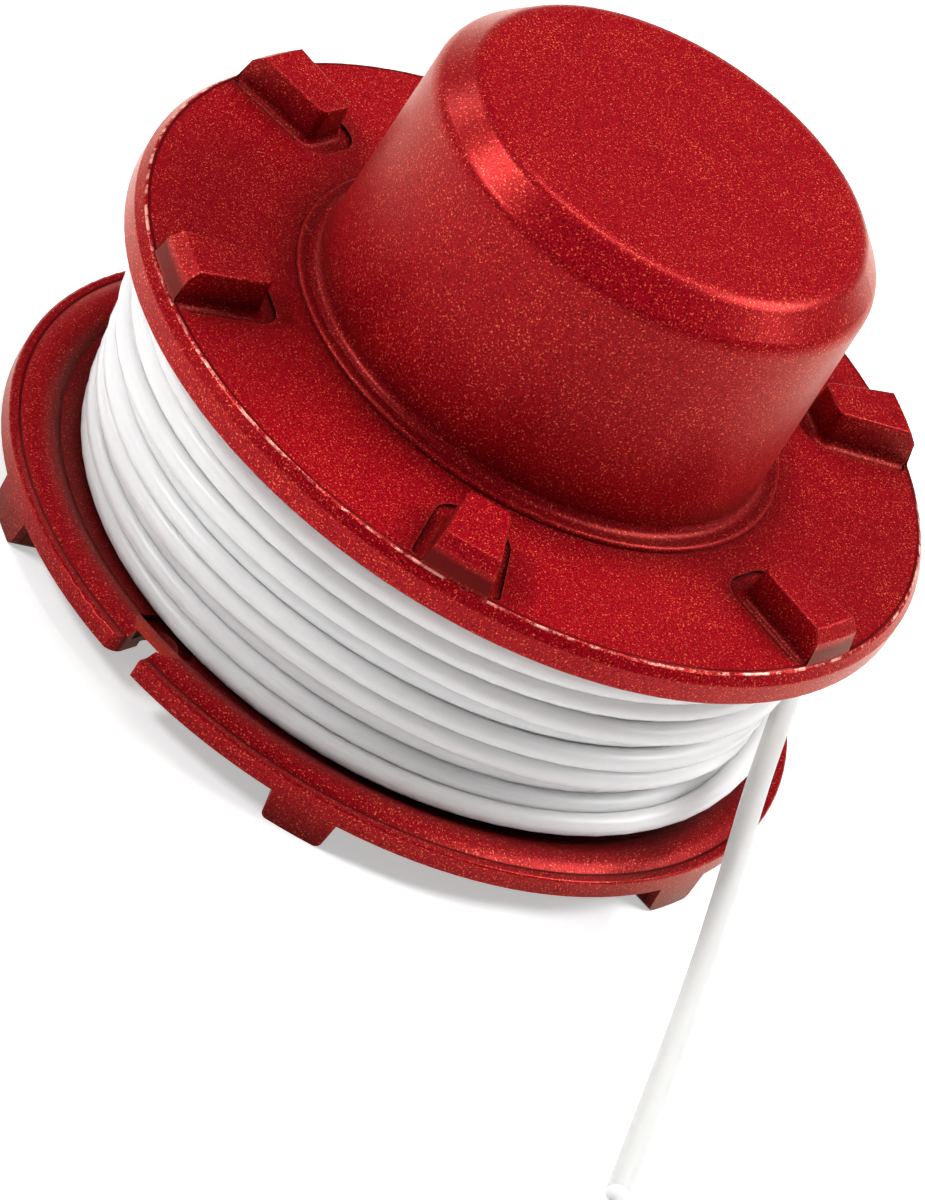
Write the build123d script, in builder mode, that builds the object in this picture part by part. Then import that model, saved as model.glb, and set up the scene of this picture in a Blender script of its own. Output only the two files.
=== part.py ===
from build123d import *
import math
import os

os.makedirs("parts", exist_ok=True)

# Trimmer line spool: a moulded drum with two flanges, a hollow tap knob on top and
# a roll of nylon line between the flanges. It stands on its lower lugs, with the
# origin on the axis, level with their undersides, and Z runs up through the knob.

# Line
line_diameter = 1.65
side_clearance = 0.05
tail_clearance = 0.1
notch_clearance = 0.35
winding_foot_radius = 24.8
winding_crown_radius = 26.2

# Flanges and drum
flange_radius = 30.0
flange_gap = 16.9
lower_rim_height = 1.4
lip_width = 0.8
dish_width = 3.0
dish_depth = 0.5
upper_rim_height = 1.7
rim_bevel_width = 0.5
rim_bevel_height = 0.8
rim_round = 0.4
edge_round = 0.2
drum_wall = 2.0

# Hub bore, open at the underside
bore_radius = 14.5
bore_depth = 20.0
bore_chamfer = 0.5

# Tap knob
knob_radius = 16.7
knob_height = 19.3
knob_draft = 1.0
knob_wall = 2.6
knob_end_wall = 2.2
shoulder_width = 2.3
shoulder_height = 2.5
shoulder_round = 1.6
collar_width = 1.4
collar_height = 0.4
collar_round = 0.3
foot_round = 0.7
chamber_round = 1.6

# Spring spigot inside the knob
spigot_radius = 4.5
spigot_bore_radius = 2.7
spigot_length = 8.0

# Lugs
lug_count = 6
lug_start_angle = -90
upper_lug_height = 2.5
upper_lug_inner_radius = 22.3
upper_lug_foot_width = 4.95
upper_lug_draft = 6.0
upper_lug_corner_round = 0.9
upper_lug_foot_round = 0.6
upper_lug_edge_round = 0.2
upper_lug_setback = 0.1
upper_lug_outer_lean = 0.3
upper_lug_bevel_width = 0.7
upper_lug_bevel_height = 0.8
recess_depth = 0.25
recess_end = 1.3
recess_side = 0.95
recess_round = 2.0
recess_rim = 0.5
recess_rim_round = 0.7
lug_base_depth = 0.5
lug_base_overlap = 0.1
lower_lug_height = 2.2
lower_lug_length = 7.0
lower_lug_tip_width = 4.4
lower_lug_base_width = 4.9
lower_lug_round = 0.5

# Keyhole notch in the lower rim, half way between two lugs
notch_angle = lug_start_angle - 180 / lug_count
notch_width = line_diameter + notch_clearance
notch_depth = 3.6
keyhole_radius = 1.3
mouth_round = 1.1
pocket_radius = 2.3
pocket_depth = 0.4

# Heights from the underside of the lower lugs
z_under = lower_lug_height
z_lip = z_under + lower_rim_height
z_dish = z_lip - dish_depth
z_ceiling = z_lip + flange_gap
z_rim = z_ceiling + upper_rim_height
z_deck = z_rim + rim_bevel_height
z_recess = z_deck - recess_depth
z_lug_base = z_recess - lug_base_depth
z_lug_top = z_deck + upper_lug_height
z_collar = z_deck + collar_height
z_top = z_deck + knob_height
z_shoulder = z_top - shoulder_height
z_chamber = z_top - knob_end_wall
z_step = z_under + bore_depth

# Radii from the axis
drum_radius = bore_radius + drum_wall
deck_radius = flange_radius - rim_bevel_width
dish_outer_radius = flange_radius - lip_width
dish_inner_radius = dish_outer_radius - dish_width
knob_foot_radius = knob_radius + (z_shoulder - z_collar) * math.tan(math.radians(knob_draft))
collar_radius = knob_foot_radius + collar_width
chamber_radius = knob_radius - knob_wall
upper_lug_outer_radius = deck_radius - upper_lug_setback
recess_inner_radius = upper_lug_inner_radius - recess_end
recess_outer_radius = deck_radius - recess_rim
keyhole_centre_radius = flange_radius - notch_depth


# The upper lugs' flanks run towards the axis
flank_slope = upper_lug_foot_width / 2 / deck_radius


def corner(sketch, radius, height):
    return sketch.vertices().sort_by_distance((radius, height, 0))[0]


def lug_plan(inner_radius, outer_radius, margin, inner_round):
    inner_half = inner_radius * flank_slope + margin
    outer_half = outer_radius * flank_slope + margin
    with BuildSketch(mode=Mode.PRIVATE) as plan:
        Polygon(
            (inner_radius, -inner_half),
            (outer_radius, -outer_half),
            (outer_radius, outer_half),
            (inner_radius, inner_half),
            align=None,
        )
        fillet(plan.vertices().group_by(Axis.X)[0], inner_round)
    return plan.sketch


# Upper lug: a drafted bar with a rounded foot, on a base that fills the bottom of its recess
with BuildPart() as upper_lug:
    base_margin = recess_side + lug_base_overlap
    base_inner_radius = recess_inner_radius - lug_base_overlap
    with BuildSketch(Plane.XY.offset(z_lug_base)):
        add(lug_plan(base_inner_radius, flange_radius, base_margin, recess_round + lug_base_overlap))
    extrude(amount=lug_base_depth)
    with BuildSketch(Plane.XY.offset(z_recess)):
        add(lug_plan(upper_lug_inner_radius, flange_radius, 0, upper_lug_corner_round))
    extrude(amount=z_lug_top - z_recess, taper=upper_lug_draft)
    level_edges = upper_lug.edges().filter_by_position(Axis.Z, z_recess, z_recess)
    foot_edges = level_edges.filter_by(
        lambda edge: edge.center().X > upper_lug_inner_radius - edge_round
        and edge.center().X < flange_radius - edge_round
        and abs(edge.center().Y) < flange_radius * flank_slope
    )
    fillet(foot_edges, upper_lug_foot_round)
    with BuildSketch(Plane.XZ):
        with BuildLine():
            Polyline(
                (0, z_ceiling),
                (upper_lug_outer_radius, z_ceiling),
                (upper_lug_outer_radius, z_deck),
                (upper_lug_outer_radius - upper_lug_outer_lean, z_lug_top - upper_lug_bevel_height),
                (upper_lug_outer_radius - upper_lug_outer_lean - upper_lug_bevel_width, z_lug_top),
                (0, z_top),
                close=True,
            )
        make_face()
    revolve(axis=Axis.Z, mode=Mode.INTERSECT)
    fillet(upper_lug.faces().sort_by(Axis.Z)[-1].edges(), upper_lug_edge_round)

# Recess round each upper lug
with BuildSketch() as lug_recess:
    add(lug_plan(recess_inner_radius, recess_outer_radius, recess_side, recess_round))
    fillet(lug_recess.vertices().group_by(Axis.X)[-1], recess_rim_round)

# Lower lug: a drafted foot with rounded tips, flush with the rim
with BuildPart() as lower_lug:
    with BuildSketch(Plane.YZ) as foot:
        with BuildLine():
            Polyline(
                (-lower_lug_tip_width / 2, 0),
                (lower_lug_tip_width / 2, 0),
                (lower_lug_base_width / 2, z_under),
                (lower_lug_base_width / 2, z_dish),
                (-lower_lug_base_width / 2, z_dish),
                (-lower_lug_base_width / 2, z_under),
                close=True,
            )
        make_face()
        fillet(foot.vertices().group_by(Axis.Y)[0], lower_lug_round)
    extrude(amount=flange_radius)
    with BuildSketch(Plane.XZ):
        with BuildLine():
            Polyline(
                (flange_radius - lower_lug_length, 0),
                (flange_radius, 0),
                (flange_radius, z_under),
                (dish_outer_radius, z_under),
                (dish_outer_radius, z_dish),
                (flange_radius - lower_lug_length, z_dish),
                close=True,
            )
        make_face()
    revolve(axis=Axis.Z, mode=Mode.INTERSECT)

# Spool: the turned section, then lugs and notch
with BuildPart() as spool:
    with BuildSketch(Plane.XZ) as section:
        with BuildLine():
            dish = SagittaArc((dish_outer_radius, z_lip), (dish_inner_radius, z_lip), -dish_depth)
            Polyline(
                dish @ 1,
                (drum_radius, z_lip),
                (drum_radius, z_ceiling),
                (flange_radius, z_ceiling),
                (flange_radius, z_rim),
                (deck_radius, z_deck),
                (collar_radius, z_deck),
                (collar_radius, z_collar),
                (knob_foot_radius, z_collar),
                (knob_radius, z_shoulder),
                (knob_radius - shoulder_width, z_top),
                (0, z_top),
                (0, z_chamber),
                (spigot_bore_radius, z_chamber),
                (spigot_bore_radius, z_chamber - spigot_length),
                (spigot_radius, z_chamber - spigot_length),
                (spigot_radius, z_chamber),
                (chamber_radius, z_chamber),
                (chamber_radius, z_step),
                (bore_radius, z_step),
                (bore_radius, z_under + bore_chamfer),
                (bore_radius + bore_chamfer, z_under),
                (flange_radius, z_under),
                (flange_radius, z_lip),
                dish @ 0,
            )
        make_face()
        fillet(corner(section, flange_radius, z_lip), edge_round)
        fillet(corner(section, flange_radius, z_ceiling), edge_round)
        fillet(corner(section, flange_radius, z_rim), edge_round)
        fillet(corner(section, deck_radius, z_deck), rim_round)
        fillet(corner(section, collar_radius, z_collar), collar_round)
        fillet(corner(section, knob_foot_radius, z_collar), foot_round)
        fillet(corner(section, knob_radius, z_shoulder), shoulder_round)
        fillet(corner(section, knob_radius - shoulder_width, z_top), shoulder_round)
        fillet(corner(section, chamber_radius, z_chamber), chamber_round)
    revolve(axis=Axis.Z)
    with BuildSketch(Plane.XY.offset(z_recess - lug_base_depth / 2)):
        with PolarLocations(0, lug_count, start_angle=lug_start_angle):
            add(lug_recess.sketch)
    extrude(amount=lug_base_depth + recess_depth, mode=Mode.SUBTRACT)
    with PolarLocations(0, lug_count, start_angle=lug_start_angle):
        add(upper_lug.part)
        add(lower_lug.part)
    notch_plane = Plane(
        origin=(0, 0, 0),
        x_dir=(math.cos(math.radians(notch_angle)), math.sin(math.radians(notch_angle)), 0),
        z_dir=(0, 0, 1),
    )
    with BuildSketch(notch_plane):
        with Locations((keyhole_centre_radius, 0)):
            Circle(keyhole_radius)
            Rectangle(notch_depth * 2, notch_width, align=(Align.MIN, Align.CENTER))
        with Locations((flange_radius - mouth_round, -notch_width / 2)):
            Rectangle(mouth_round * 2, mouth_round, align=(Align.MIN, Align.MAX))
        with Locations((flange_radius - mouth_round, -notch_width / 2 - mouth_round)):
            Circle(mouth_round, mode=Mode.SUBTRACT)
    extrude(amount=z_lip + pocket_depth, mode=Mode.SUBTRACT)
    with BuildSketch(notch_plane.offset(z_lip - pocket_depth)):
        with Locations((keyhole_centre_radius, 0)):
            Circle(pocket_radius)
    extrude(amount=2 * pocket_depth, mode=Mode.SUBTRACT)
spool.part.label = "spool"
export_step(spool.part, "parts/spool.step")

# Winding: one solid of the roll, with a ridge for each outer turn
turn_count = int((flange_gap - 2 * side_clearance) / line_diameter)
turn_pitch = (flange_gap - 2 * side_clearance) / turn_count
line_radius = line_diameter / 2


def turn_centre(turn):
    share = math.sin(math.pi / 2 * turn / (turn_count - 1))
    outer = winding_foot_radius + (winding_crown_radius - winding_foot_radius) * share
    return (outer - line_radius, z_lip + side_clearance + turn_pitch * (turn + 0.5))


with BuildPart() as line_winding:
    with BuildSketch(Plane.XZ):
        with BuildLine():
            inner_low = (drum_radius + side_clearance, z_lip + side_clearance)
            inner_high = (drum_radius + side_clearance, z_ceiling - side_clearance)
            last_point = inner_low
            for turn in range(turn_count):
                turn_radius, turn_height = turn_centre(turn)
                turn_low = (turn_radius, turn_height - line_radius)
                turn_high = (turn_radius, turn_height + line_radius)
                Line(last_point, turn_low)
                ThreePointArc(turn_low, (turn_radius + line_radius, turn_height), turn_high)
                last_point = turn_high
            Line(last_point, inner_high)
            Line(inner_high, inner_low)
        make_face()
    revolve(axis=Axis.Z)
line_winding.part.label = "line_winding"
export_step(line_winding.part, "parts/line_winding.step")

# Tail: the free end leaves the roll in line with its turn and comes down to the ground
tail_turn = 4
tail_side = turn_centre(tail_turn)[0] + line_radius + tail_clearance + line_radius
tail_points = [
    (tail_side + 0.05, 0.8, 11.25),
    (tail_side, -6.0, 11.0),
    (tail_side + 0.1, -13.0, 10.1),
    (tail_side + 0.8, -21.0, 8.2),
    (tail_side + 1.4, -27.0, 5.9),
    (tail_side + 1.8, -33.0, 3.8),
    (tail_side + 2.0, -41.0, 1.75),
    (tail_side + 1.95, -48.6, 0.9),
]
bend_share = 0.45
tail_vectors = [Vector(*point) for point in tail_points]
tail_runs = [after - before for before, after in zip(tail_vectors, tail_vectors[1:])]
tail_radii = []
for run, next_run in zip(tail_runs, tail_runs[1:]):
    half_turn = math.radians(run.get_angle(next_run) / 2)
    tail_radii.append(bend_share * min(run.length, next_run.length) / math.tan(half_turn))
print("tail radii", [round(radius, 1) for radius in tail_radii])

with BuildPart() as line_tail:
    with BuildLine():
        tail_wire = FilletPolyline(*tail_points, radius=tail_radii)
    with BuildSketch(Plane(origin=tail_wire @ 0, z_dir=tail_wire % 0)):
        Circle(line_radius)
    sweep()
print("tail length", round(tail_wire.length, 2))
print("tail volume", round(line_tail.part.volume, 2))
print("section times length", round(math.pi * line_radius**2 * tail_wire.length, 2))
line_tail.part.label = "line_tail"
export_step(line_tail.part, "parts/line_tail.step")
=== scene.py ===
import math

import bpy
from mathutils import Matrix, Vector


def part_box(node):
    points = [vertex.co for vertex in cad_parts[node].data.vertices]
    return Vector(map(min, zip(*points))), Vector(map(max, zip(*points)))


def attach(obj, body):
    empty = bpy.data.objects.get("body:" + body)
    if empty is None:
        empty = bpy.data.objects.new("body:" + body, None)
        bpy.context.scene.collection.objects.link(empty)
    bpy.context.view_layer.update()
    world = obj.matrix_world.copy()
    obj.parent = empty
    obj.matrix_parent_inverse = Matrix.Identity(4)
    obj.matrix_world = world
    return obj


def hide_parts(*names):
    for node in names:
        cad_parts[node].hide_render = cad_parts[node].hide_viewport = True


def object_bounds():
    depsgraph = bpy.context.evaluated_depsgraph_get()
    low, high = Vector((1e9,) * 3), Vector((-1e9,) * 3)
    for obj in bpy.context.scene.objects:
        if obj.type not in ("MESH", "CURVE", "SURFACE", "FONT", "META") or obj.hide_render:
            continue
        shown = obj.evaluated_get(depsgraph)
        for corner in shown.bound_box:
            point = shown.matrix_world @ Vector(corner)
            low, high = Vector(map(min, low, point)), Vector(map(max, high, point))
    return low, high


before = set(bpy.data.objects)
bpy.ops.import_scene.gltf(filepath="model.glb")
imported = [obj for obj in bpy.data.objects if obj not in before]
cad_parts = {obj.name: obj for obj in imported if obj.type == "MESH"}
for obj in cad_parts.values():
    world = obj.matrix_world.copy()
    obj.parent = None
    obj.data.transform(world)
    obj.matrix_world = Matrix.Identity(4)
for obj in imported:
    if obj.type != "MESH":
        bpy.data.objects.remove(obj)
cadLow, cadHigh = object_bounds()
mm = 0.001
white = (1, 1, 1, 1)
print("frame loaded:", sorted(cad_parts))


# Camera: a long lens from the front, rolled so that the spool leans to the right
cameraSettings = {
    "elevation": 32.24,  # degrees above the ground
    "azimuth": -6.8,  # degrees round the spool
    "roll": 33.57,
    "distance": 648.4 * mm,
    "aim": (4.61 * mm, -1.45 * mm),  # right and up from the axis
    "aimHeight": 2.2 * mm,
    "lens": 284.45,
    "clipStart": 10 * mm,
}


def placeCamera(settings):
    tilt = math.radians(settings["elevation"])
    roll = math.radians(settings["roll"])
    turn = Matrix.Rotation(math.radians(settings["azimuth"]), 3, "Z")
    level = Vector((1, 0, 0))
    rise = Vector((0, math.sin(tilt), math.cos(tilt)))
    right = turn @ (math.cos(roll) * level + math.sin(roll) * rise)
    up = turn @ (math.cos(roll) * rise - math.sin(roll) * level)
    back = turn @ Vector((0, -math.cos(tilt), math.sin(tilt)))
    aimRight, aimUp = settings["aim"]
    place = aimRight * right + aimUp * up + settings["distance"] * back
    place.z += settings["aimHeight"]

    cameraData = bpy.data.cameras.new("camera")
    cameraData.lens = settings["lens"]
    cameraData.clip_start = settings["clipStart"]
    camera = bpy.data.objects.new("camera", cameraData)
    camera.matrix_world = Matrix((right, up, back)).transposed().to_4x4()
    camera.location = place
    bpy.context.scene.collection.objects.link(camera)
    bpy.context.scene.camera = camera


placeCamera(cameraSettings)
print("camera placed")


# Line: one cord, wound in layers on the drum, with its outer turns and tail listed point by point
lineSettings = {
    "diameter": 1.65 * mm,
    "length": 8.0,
    "drumRadius": 16.5 * mm,
    "slack": 0.05 * mm,
    "turnPoints": 16,
    "layers": 5,
    "layerTurns": 10,
    "climbFrom": 0.95,  # share of a layer after which the line climbs to the next one
    "footRadius": 24.2,  # middle of the outer layer at the lower flange, mm
    "crownRadius": 25.8,  # and at the upper flange
    # Degrees on from the back: back, right edge, right, front, left
    "keyAngles": (0, 75, 120, 180, 255),
    # Outer turns from the top down, the last one back up: height and radius at each key angle, mm
    "outerTurns": [
        ((19.4, 25.4), (19.2, 25.4), (19.0, 25.8), (18.9, 25.7), (18.7, 25.9)),
        ((18.2, 25.5), (17.6, 25.4), (17.4, 25.8), (17.3, 25.6), (17.0, 25.9)),
        ((16.4, 25.4), (16.0, 25.3), (15.8, 25.8), (15.65, 25.5), (15.2, 25.8)),
        ((13.8, 25.1), (12.5, 24.7), (12.5, 24.9), (12.4, 24.8), (11.7, 24.8)),
        ((11.1, 25.2), (10.4, 24.9), (10.8, 25.7), (10.8, 25.2), (10.2, 25.4)),
        ((9.5, 24.9), (8.7, 24.8), (9.0, 25.7), (9.1, 25.0), (8.4, 25.1)),
        ((8.0, 24.4), (7.6, 24.2), (7.6, 24.5), (7.6, 24.2), (7.2, 24.2)),
        ((7.1, 24.5), (6.9, 24.6), (6.3, 25.4), (6.05, 24.7), (6.0, 24.6)),
        ((7.2, 26.1), (8.6, 27.0), (5.7, 26.6), (4.6, 25.5), (4.5, 24.2)),
        ((9.0, 26.6), (12.2, 25.3), (13.4, 25.9), (14.0, 25.5), (13.0, 25.9)),
    ],
    "lastBack": (12.0, 26.7),
    "tailAngle": 90,  # where the tail leaves, degrees on from the back
    "tailLead": 15,  # the turns stop this many degrees before it
    # The tail's route, mm
    "tail": [
        (26.675, 0.8, 11.25),
        (26.625, -6.0, 11.0),
        (26.725, -13.0, 10.1),
        (27.425, -21.0, 8.2),
        (28.025, -27.0, 5.9),
        (28.425, -33.0, 3.8),
        (28.625, -41.0, 1.75),
        (28.575, -48.6, 0.9),
    ],
    "roundSteps": 4,  # smoothness round the line and along it
    "lengthSteps": 4,
}


def turnPoint(settings, degrees, height, radius):
    # The line runs clockwise from the back, seen from above; a spline runs inside its points
    angle = math.radians(90 - degrees)
    reach = radius / math.cos(math.pi / settings["turnPoints"])
    return (reach * math.cos(angle), reach * math.sin(angle), height)


def innerPoints(settings):
    # Layers under the outer one, up and down by turns
    lineRadius = settings["diameter"] / 2
    windingLow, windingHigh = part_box("line_winding")
    low = windingLow.z + lineRadius
    high = windingHigh.z - lineRadius
    firstRadius = settings["drumRadius"] + settings["slack"] + lineRadius
    count = settings["turnPoints"]
    pointCount = settings["layerTurns"] * count
    points = []
    for layer in range(settings["layers"]):
        start = count // 4 if layer == 0 else 0  # the line starts at the right
        for step in range(start, pointCount):
            share = step / pointCount
            rise = share if layer % 2 == 0 else 1 - share
            height = low + (high - low) * rise
            spread = settings["crownRadius"] - settings["footRadius"]
            outerRadius = (settings["footRadius"] + spread * rise) * mm
            layerStep = (outerRadius - firstRadius) / settings["layers"]
            climb = max(0, (share - settings["climbFrom"]) / (1 - settings["climbFrom"]))
            radius = firstRadius + layerStep * (layer + climb)
            points.append(turnPoint(settings, step * 360 / count, height, radius))
    return points


def easedKey(keys, place):
    # Height and radius at a place along the keys, eased in and out of each one
    index = max(i for i, key in enumerate(keys[:-1]) if key[0] <= place or i == 0)
    startPlace, startValues = keys[index]
    endPlace, endValues = keys[index + 1]
    share = min(1, max(0, (place - startPlace) / (endPlace - startPlace)))
    share = share * share * (3 - 2 * share)
    return [a + (b - a) * share for a, b in zip(startValues, endValues)]


def outerPoints(settings):
    keys = []
    for turn, row in enumerate(settings["outerTurns"]):
        for angle, values in zip(settings["keyAngles"], row):
            keys.append((turn * 360 + angle, values))
    lastTurn = len(settings["outerTurns"]) * 360
    tailPlace = lastTurn + settings["tailAngle"]
    tailSide, _, tailHeight = settings["tail"][0]
    keys.append((lastTurn, settings["lastBack"]))
    keys.append((tailPlace, (tailHeight, tailSide)))
    stepDegrees = 360 / settings["turnPoints"]
    points = []
    for step in range(int((tailPlace - settings["tailLead"]) / stepDegrees)):
        height, radius = easedKey(keys, step * stepDegrees)
        points.append(turnPoint(settings, step * stepDegrees, height * mm, radius * mm))
    return points


def windLine(settings):
    tail = [tuple(value * mm for value in point) for point in settings["tail"]]
    points = innerPoints(settings) + outerPoints(settings) + tail

    lineData = bpy.data.curves.new("trimmerLine", "CURVE")
    lineData.dimensions = "3D"
    lineData.bevel_depth = 1.0  # times each point's radius
    lineData.bevel_resolution = settings["roundSteps"]
    lineData.resolution_u = settings["lengthSteps"]
    lineData.use_fill_caps = True
    spline = lineData.splines.new("NURBS")
    spline.points.add(len(points) - 1)
    for point, place in zip(spline.points, points):
        point.co = (*place, 1)
        point.radius = settings["diameter"] / 2
    spline.order_u = 3
    spline.use_endpoint_u = True
    spline.use_smooth = True

    line = bpy.data.objects.new("trimmerLine", lineData)
    bpy.context.scene.collection.objects.link(line)
    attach(line, "root")
    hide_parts("line_winding", "line_tail")
    return line


line = windLine(lineSettings)
print("line wound:", len(line.data.splines[0].points), "points")


# Material tools
def newMaterial(name):
    material = bpy.data.materials.new(name)
    material.use_nodes = True
    material.node_tree.nodes.clear()
    return material


def addNode(material, kind, values=None, **settings):
    # A value from another node is linked, and a plain one is set
    node = material.node_tree.nodes.new(kind)
    for key, value in settings.items():
        setattr(node, key, value)
    for key, value in (values or {}).items():
        if isinstance(value, bpy.types.NodeSocket):
            material.node_tree.links.new(value, node.inputs[key])
        else:
            node.inputs[key].default_value = value
    return node


def maths(material, operation, *values):
    node = addNode(material, "ShaderNodeMath", dict(enumerate(values)), operation=operation)
    return node.outputs[0]


def noise(material, place, size, detail, roughness=0.5):
    node = addNode(material, "ShaderNodeTexNoise", {
        "Vector": place, "Scale": 1 / size, "Detail": detail, "Roughness": roughness,
    })
    return node.outputs["Fac"]


def ramp(material, value, stops):
    node = addNode(material, "ShaderNodeValToRGB", {"Fac": value})
    elements = node.color_ramp.elements
    while len(elements) < len(stops):
        elements.new(0.5)
    for element, (place, colour) in zip(elements, stops):
        element.position = place
        element.color = colour
    return node.outputs["Color"]


def fade(material, value, start, end, low=0.0, high=1.0):
    # From low at the start to high at the end
    node = addNode(material, "ShaderNodeMapRange", {
        "Value": value, "From Min": start, "From Max": end, "To Min": low, "To Max": high,
    })
    return node.outputs["Result"]


def ring(material, value, middle, width):
    # 1 at the middle, falling to 0 at the width to each side
    away = maths(material, "ABSOLUTE", maths(material, "SUBTRACT", value, middle))
    return fade(material, away, width, width / 2)


def mix(material, share, under, over, kind="RGBA", blend="MIX"):
    values = {"Factor": share, "A": under, "B": over}
    node = addNode(material, "ShaderNodeMix", values, data_type=kind, blend_type=blend)
    return node.outputs["Result"]


def finishMaterial(material, surface):
    addNode(material, "ShaderNodeOutputMaterial", {"Surface": surface})
    return material


# Plastic of the spool
plasticSettings = {
    "deep": (0.12, 0.0006, 0.003, 1),
    "colour": (0.34, 0.0019, 0.0095, 1),
    "glintSpark": (1.0, 0.170, 0.070, 1),
    "grainStops": (0.34, 0.45, 0.62, 0.75),  # pits up to the first, skin between, and from the last, sparks painted bright as glints on the grain
    "grainSize": 0.13 * mm,
    "grainDetail": 1.5,
    "grainTilt": (0.62, 0.47, 0.35),  # out of line with the flat faces
    "grainDepth": 0.014 * mm,
    "scuffSize": 5.0 * mm,
    "scuffDetail": 5.0,
    "scuffRoughness": 0.65,
    "scuffRange": (0.46, 0.66),
    "scuffGlintSpark": 0.03,  # more of the grain shows painted glints where the skin is scuffed
    # colour of the worn edges, which also stands for a painted highlight on them
    "wornAndHighlit": (0.75, 0.090, 0.050, 1),
    "edgeReach": 0.3 * mm,  # edges are painted paler this far in, as wear and as a painted highlight
    "edgeRange": (0.80, 0.40),
    "edgeWearAndHighlight": 0.3,
    # Painted shade: the colour is darkened near corners, recesses and between parts
    "paintedShadeReach": 4.0 * mm,
    "paintedShadeShare": 0.9,
    "paintedShadeDepth": 1.8,  # a power, so that the painted shade in narrow corners goes nearly black
    "shadeSamples": 4,
    "rimShadeLine": 29.28 * mm,  # a painted shade line runs beside each rim's edge
    "rimShadeLineWidth": 0.14 * mm,
    # pale colour of the painted glint along the upper rim's edge
    "paintedGlint": (0.95, 0.42, 0.33, 1),
    "rimEdge": 29.50 * mm,  # a painted glint lies in pale spots along the upper rim's edge
    "rimEdgeWidth": 0.10 * mm,
    "rimHeight": 22.0 * mm,  # the upper rim lies above this
    "spotSize": 1.2 * mm,
    "spotDetail": 4.0,
    "spotRoughness": 0.7,
    "spotRange": (0.47, 0.60),
    "polished": (29.25 * mm, 29.50 * mm),  # the rims' walls lose their grain between these radii
    "shoulderRadius": 14.1 * mm,  # the tap knob's round shoulder is smoother too
    "shoulderHeight": 39.6 * mm,
    "shoulderBlend": 0.5 * mm,
    "polishedGrain": 0.12,  # share of the grain that is left there
    "roughness": (0.28, 0.36),  # polished, and with full grain
    "shine": 0.12,
    "flake": 0.26,  # share of metal-like shine, in the plastic's own red
    "shineColour": (1.0, 0.85, 0.55, 1),
}


def occlusion(material, settings, reach, inside):
    values = {"Distance": reach}
    samples = settings["shadeSamples"]
    node = addNode(material, "ShaderNodeAmbientOcclusion", values, samples=samples, inside=inside)
    return node.outputs["AO"]


def plasticColour(material, settings, place, grain, radius, height):
    # Dark pits, red skin, and sparks painted bright as glints on the grain
    scuff = noise(material, place, settings["scuffSize"], settings["scuffDetail"], settings["scuffRoughness"])
    scuffed = fade(material, scuff, *settings["scuffRange"])
    specks = maths(material, "MULTIPLY_ADD", scuffed, settings["scuffGlintSpark"], grain)
    tones = [settings[name] for name in ("deep", "colour", "colour", "glintSpark")]
    colour = ramp(material, specks, list(zip(settings["grainStops"], tones)))

    # Edges painted paler: partly wear, partly a painted highlight
    edge = occlusion(material, settings, settings["edgeReach"], True)
    wearAndHighlight = fade(material, edge, *settings["edgeRange"], high=settings["edgeWearAndHighlight"])
    colour = mix(material, wearAndHighlight, colour, settings["wornAndHighlit"])

    # Rims: a painted shade line on both, and a painted glint in pale spots along the upper one's edge
    shadeLine = ring(material, radius, settings["rimShadeLine"], settings["rimShadeLineWidth"])
    colour = mix(material, shadeLine, colour, settings["deep"])
    spots = noise(material, place, settings["spotSize"], settings["spotDetail"], settings["spotRoughness"])
    rim = ring(material, radius, settings["rimEdge"], settings["rimEdgeWidth"])
    glintMask = maths(material, "MULTIPLY", rim, fade(material, spots, *settings["spotRange"]))
    upper = maths(material, "GREATER_THAN", height, settings["rimHeight"])
    colour = mix(material, maths(material, "MULTIPLY", glintMask, upper), colour, settings["paintedGlint"])

    # Painted shade: corners and recesses are darkened in the colour by occlusion
    cornerOcclusion = occlusion(material, settings, settings["paintedShadeReach"], False)
    cornerShade = maths(material, "POWER", cornerOcclusion, settings["paintedShadeDepth"])
    return mix(material, settings["paintedShadeShare"], colour, cornerShade, blend="MULTIPLY")


def grainShare(material, settings, radius, height):
    # 1 on the grained skin, less on the polished rims and the knob's shoulder
    rim = fade(material, radius, *settings["polished"])
    blend = settings["shoulderBlend"]
    out = fade(material, radius, settings["shoulderRadius"], settings["shoulderRadius"] + blend)
    up = fade(material, height, settings["shoulderHeight"], settings["shoulderHeight"] + blend)
    shoulder = maths(material, "MULTIPLY", out, up)
    smooth = maths(material, "MAXIMUM", rim, shoulder)
    return fade(material, smooth, 0.0, 1.0, low=1.0, high=settings["polishedGrain"])


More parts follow.
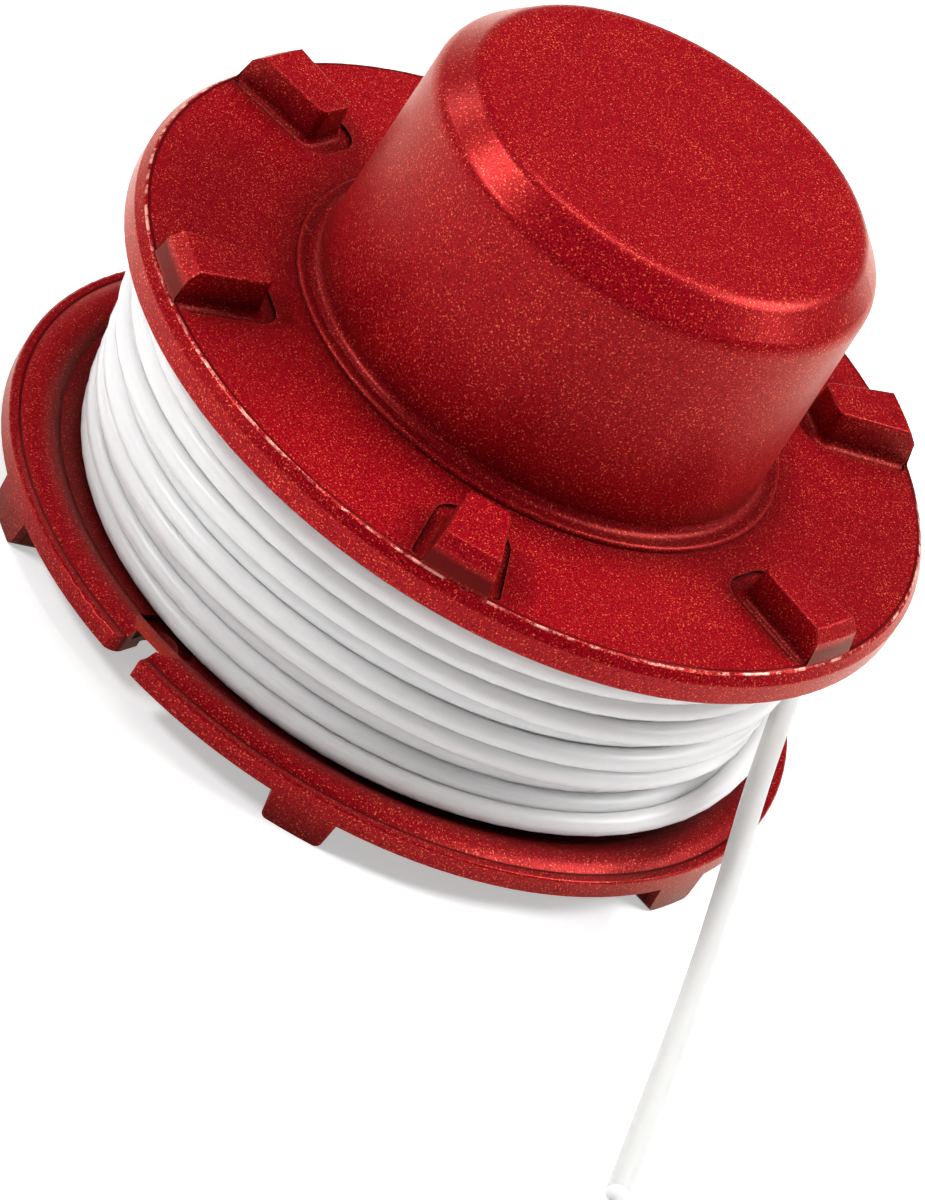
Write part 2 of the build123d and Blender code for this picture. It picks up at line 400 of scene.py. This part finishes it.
def redPlastic(settings):
    material = newMaterial("redPlastic")
    place = addNode(material, "ShaderNodeTexCoord").outputs["Object"]
    tilted = addNode(material, "ShaderNodeMapping", {"Vector": place, "Rotation": settings["grainTilt"]})
    grain = noise(material, tilted.outputs["Vector"], settings["grainSize"], settings["grainDetail"])
    flat = addNode(material, "ShaderNodeVectorMath", {0: place, 1: (1, 1, 0)}, operation="MULTIPLY")
    length = addNode(material, "ShaderNodeVectorMath", {0: flat.outputs["Vector"]}, operation="LENGTH")
    radius = length.outputs["Value"]
    height = addNode(material, "ShaderNodeSeparateXYZ", {"Vector": place}).outputs["Z"]

    colour = plasticColour(material, settings, place, grain, radius, height)
    grainy = grainShare(material, settings, radius, height)
    bump = addNode(material, "ShaderNodeBump", {
        "Strength": 1.0,
        "Distance": settings["grainDepth"],
        "Height": maths(material, "MULTIPLY", grain, grainy),
    })
    polish, grained = settings["roughness"]
    shader = addNode(material, "ShaderNodeBsdfPrincipled", {
        "Base Color": colour,
        "Metallic": settings["flake"],
        "Roughness": fade(material, grainy, 0.0, 1.0, low=polish, high=grained),
        "Specular IOR Level": settings["shine"],
        "Specular Tint": settings["shineColour"],
        "Normal": bump.outputs["Normal"],
    })
    return finishMaterial(material, shader.outputs["BSDF"])


# Nylon of the line
nylonSettings = {
    "colour": (0.97, 0.97, 0.965, 1),
    "cloudy": (0.94, 0.94, 0.935, 1),
    "cloudStops": (0.30, 0.60),
    "streaks": (700, 9, 1),  # along the line and round it
    "streakDetail": 3.0,
    # The tail is darker and duller than the roll, because these lamps clip a paler one to white
    "tailColour": (0.56, 0.56, 0.55, 1),
    "tailRange": (0.9905, 0.9930),  # share of the way along the line
    "tailRoughness": 0.6,
    "roughness": (0.22, 0.36),
    "shine": 0.28,
    "sheen": 0.2,
    "sheenRoughness": 0.4,
    "depth": 2.6 * mm,  # how far light runs inside the line
}


def nylonLine(settings):
    material = newMaterial("nylonLine")
    along = addNode(material, "ShaderNodeUVMap").outputs["UV"]
    stretch = {0: along, 1: settings["streaks"]}
    stretched = addNode(material, "ShaderNodeVectorMath", stretch, operation="MULTIPLY")
    streaks = noise(material, stretched.outputs["Vector"], 1.0, settings["streakDetail"])
    tones = (settings["cloudy"], settings["colour"])
    clean = ramp(material, streaks, list(zip(settings["cloudStops"], tones)))
    share = addNode(material, "ShaderNodeSeparateXYZ", {"Vector": along}).outputs["X"]
    tail = fade(material, share, *settings["tailRange"])
    glossy, dull = settings["roughness"]
    gloss = fade(material, streaks, 0.0, 1.0, low=glossy, high=dull)
    shader = addNode(material, "ShaderNodeBsdfPrincipled", {
        "Base Color": mix(material, tail, clean, settings["tailColour"]),
        "Roughness": mix(material, tail, gloss, settings["tailRoughness"], kind="FLOAT"),
        "Specular IOR Level": settings["shine"],
        "Sheen Weight": settings["sheen"],
        "Sheen Roughness": settings["sheenRoughness"],
        "Subsurface Weight": 1.0,
        "Subsurface Radius": (1.0, 1.0, 1.0),
        "Subsurface Scale": settings["depth"],
    })
    return finishMaterial(material, shader.outputs["BSDF"])


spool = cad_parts["spool"]
spool.data.materials.clear()
spool.data.materials.append(redPlastic(plasticSettings))
line.data.materials.append(nylonLine(nylonSettings))
print("materials set")


# Floor, room and lamps
stageSettings = {
    "floorSize": 4.0,
    "floorColour": (0.92, 0.92, 0.92, 1),
    "floorGlow": 0.45,  # keeps the ground white to the eye
    "worldStrength": 0.08,
    "horizon": (0.04, 0.12),  # the room is white at the horizon and dimmer above
    # Direction, distance, width and height, and power of each lamp
    "lamps": {
        "keyLamp": ((-0.78, -0.16, 0.60), 0.7, (0.26, 0.10), 2.7),
        "leftLamp": ((-0.80, 0.42, 0.42), 0.7, (0.14, 0.14), 0.5),
        "topStrip": ((-0.04, 0.22, 0.97), 0.67, (0.45, 0.08), 2.2),
        "rightLamp": ((0.64, 0.20, 0.74), 0.8, (0.40, 0.40), 6.3),
        "frontLamp": ((0.05, -0.98, 0.18), 0.9, (0.5, 0.5), 0.16),
    },
}


def seenByEye(material):
    # 1 for what the camera sees, also in a mirror or through glass
    paths = addNode(material, "ShaderNodeLightPath").outputs
    direct = maths(material, "MAXIMUM", paths["Is Camera Ray"], paths["Is Glossy Ray"])
    return maths(material, "MAXIMUM", direct, paths["Is Transmission Ray"])


def layFloor(settings):
    bpy.ops.object.select_all(action="DESELECT")
    bpy.ops.mesh.primitive_plane_add(size=settings["floorSize"], location=(0, 0, 0))
    floor = bpy.context.object
    floor.name = "floor"
    material = newMaterial("paleFloor")
    matte = addNode(material, "ShaderNodeBsdfDiffuse", {"Color": settings["floorColour"]})
    strength = maths(material, "MULTIPLY", seenByEye(material), settings["floorGlow"])
    glow = addNode(material, "ShaderNodeEmission", {"Color": white, "Strength": strength})
    both = addNode(material, "ShaderNodeAddShader", {0: matte.outputs["BSDF"], 1: glow.outputs["Emission"]})
    floor.data.materials.append(finishMaterial(material, both.outputs[0]))


def paintRoom(settings):
    world = bpy.data.worlds.new("paleRoom")
    world.use_nodes = True
    world.node_tree.nodes.clear()
    view = addNode(world, "ShaderNodeTexCoord").outputs["Generated"]
    slope = addNode(world, "ShaderNodeSeparateXYZ", {"Vector": view}).outputs["Z"]
    level = fade(world, slope, *settings["horizon"], low=1.0, high=settings["worldStrength"])
    room = addNode(world, "ShaderNodeBackground", {"Color": white, "Strength": level})
    addNode(world, "ShaderNodeOutputWorld", {"Surface": room.outputs["Background"]})
    bpy.context.scene.world = world


def hangLamps(settings):
    middle = Vector((0, 0, (cadLow.z + cadHigh.z) / 2))
    for name, (direction, distance, size, power) in settings["lamps"].items():
        lampData = bpy.data.lights.new(name, "AREA")
        lampData.shape = "RECTANGLE"
        lampData.size, lampData.size_y = size
        lampData.energy = power
        lamp = bpy.data.objects.new(name, lampData)
        lamp.location = middle + Vector(direction).normalized() * distance
        lamp.rotation_euler = Vector(direction).to_track_quat("Z", "Y").to_euler()
        bpy.context.scene.collection.objects.link(lamp)


layFloor(stageSettings)
paintRoom(stageSettings)
hangLamps(stageSettings)
bpy.context.scene.view_settings.view_transform = "Standard"
print("stage set")
